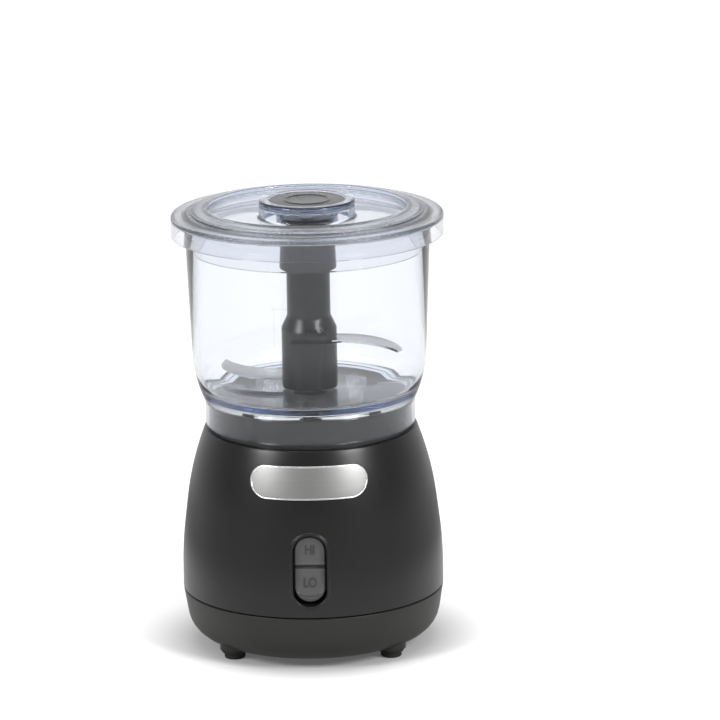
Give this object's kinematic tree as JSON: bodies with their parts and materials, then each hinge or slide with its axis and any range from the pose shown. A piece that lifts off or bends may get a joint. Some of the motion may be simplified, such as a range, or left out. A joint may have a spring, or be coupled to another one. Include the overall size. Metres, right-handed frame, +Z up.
{
  "type": "electric food chopper",
  "caption": "Round motor base with a rocker switch, a clear bowl over a pedestal, tall central blade hub with swept blades, and a clear press-down lid.",
  "frame": {"origin": "on the table under the drive spindle, at the middle of the four feet", "axes": "+Z up along the spindle, -Y to the front with the badge and rocker, +X to its right"},
  "size_m": [0.1386, 0.1386, 0.2321],
  "materials": {
    "casing_black": "fine satin sheen",
    "pan_black": "matt moulded",
    "pedestal_grey": "satin moulded",
    "rocker_grey": "satin moulded",
    "clear_bowl": "clear polished",
    "clear_lid": "clear polished",
    "smoke_disc": "smoky clear",
    "hub_black": "satin moulded",
    "blade_steel": "ground and polished",
    "badge_silver": "brushed satin, bright rim",
    "plain_steel": "turned",
    "screw_steel": "zinc plated",
    "foot_rubber": "matt",
    "seal_rubber": "matt",
    "inner_plastic": "moulded",
    "white_plastic": "moulded nylon",
    "bronze": "sintered, oiled",
    "copper": "wound enamelled wire",
    "laminations": "stacked sheets",
    "carbon": "pressed carbon"
  },
  "bodies": {
    "base": {"housing_shell": "casing_black", "base_pan": "pan_black", "foot_front_left": "foot_rubber", "foot_front_right": "foot_rubber", "foot_rear_left": "foot_rubber", "foot_rear_right": "foot_rubber", "pan_screws": "screw_steel", "chassis_screws": "screw_steel", "pedestal_screws": "screw_steel", "motor_screws": "screw_steel", "cord_bush": "seal_rubber", "badge_plate": "badge_silver", "rocker_switch": "inner_plastic", "rocker_pin": "plain_steel", "switch_terminals": "bronze", "low_speed_diode": "inner_plastic", "pedestal": "pedestal_grey", "spindle_seal": "seal_rubber", "press_springs": "plain_steel", "interlock_switch": "inner_plastic", "spindle_washers": "white_plastic", "upper_spindle_bush": "bronze", "lower_spindle_bush": "bronze", "gear_chassis": "inner_plastic", "stator_stack": "laminations", "field_coils": "copper", "upper_motor_bush": "bronze", "lower_motor_bush": "bronze", "motor_end_frame": "inner_plastic", "brush_holders": "bronze", "carbon_brushes": "carbon", "brush_springs": "plain_steel"},
    "press": {"press_ring": "inner_plastic"},
    "bowl": {"bowl": "clear_bowl"},
    "lid": {"lid": "clear_lid", "lid_press_disc": "smoke_disc"},
    "blade": {"blade_hub": "hub_black", "hub_drive_insert": "plain_steel", "lower_blade": "blade_steel", "upper_blade": "blade_steel"},
    "spindle": {"drive_spindle": "plain_steel", "drive_gear": "white_plastic", "spindle_circlip": "plain_steel"},
    "armature": {"armature_shaft": "plain_steel", "armature_core": "laminations", "armature_windings": "copper", "commutator": "copper", "motor_fan": "inner_plastic", "motor_pinion": "plain_steel"},
    "rocker": {"speed_rocker": "rocker_grey"},
    "lever": {"interlock_lever": "plain_steel"},
    "button": {"interlock_button": "carbon"}
  },
  "joints": [
    {"name": "press_travel", "type": "slide", "parent": "base", "child": "press", "axis": [0, 0, 1], "range_m": [-0.002, 0], "stiffness_N_per_m": 1500, "springref_m": 0.008, "deforming": ["press_springs"]},
    {"name": "bowl_lift", "type": "slide", "parent": "press", "child": "bowl", "axis": [0, 0, 1], "range_m": [0, 0.08]},
    {"name": "lid_lift", "type": "slide", "parent": "bowl", "child": "lid", "axis": [0, 0, 1], "range_m": [0, 0.05]},
    {"name": "spindle_spin", "type": "hinge", "parent": "base", "child": "spindle", "pos_m": [0, 0, 0.0973], "axis": [0, 0, 1], "continuous": true},
    {"name": "blade_spin", "type": "hinge", "parent": "bowl", "child": "blade", "pos_m": [0, 0, 0.15], "axis": [0, 0, 1], "continuous": true},
    {"name": "motor_spin", "type": "hinge", "parent": "base", "child": "armature", "pos_m": [0, 0.027, 0.06], "axis": [0, 0, 1], "continuous": true},
    {"name": "rocker_tilt", "type": "hinge", "parent": "base", "child": "rocker", "pos_m": [0, -0.0581, 0.0544], "axis": [1, 0, 0], "range_deg": [0, 10]},
    {"name": "lever_swing", "type": "hinge", "parent": "base", "child": "lever", "pos_m": [-0.0052, 0.0365, 0.1215], "axis": [0, 1, 0], "range_deg": [0, 12]},
    {"name": "button_press", "type": "slide", "parent": "base", "child": "button", "axis": [0, 0, 1], "range_m": [-0.00085, 0]}
  ],
  "couplings": [
    {"joint": "spindle_spin", "follows": "motor_spin", "ratio": -0.35},
    {"joint": "blade_spin", "follows": "motor_spin", "ratio": -0.35},
    {"joint": "lever_swing", "follows": "press_travel", "rad_per_m": -97.56},
    {"joint": "button_press", "follows": "press_travel", "ratio": 0.4}
  ]
}
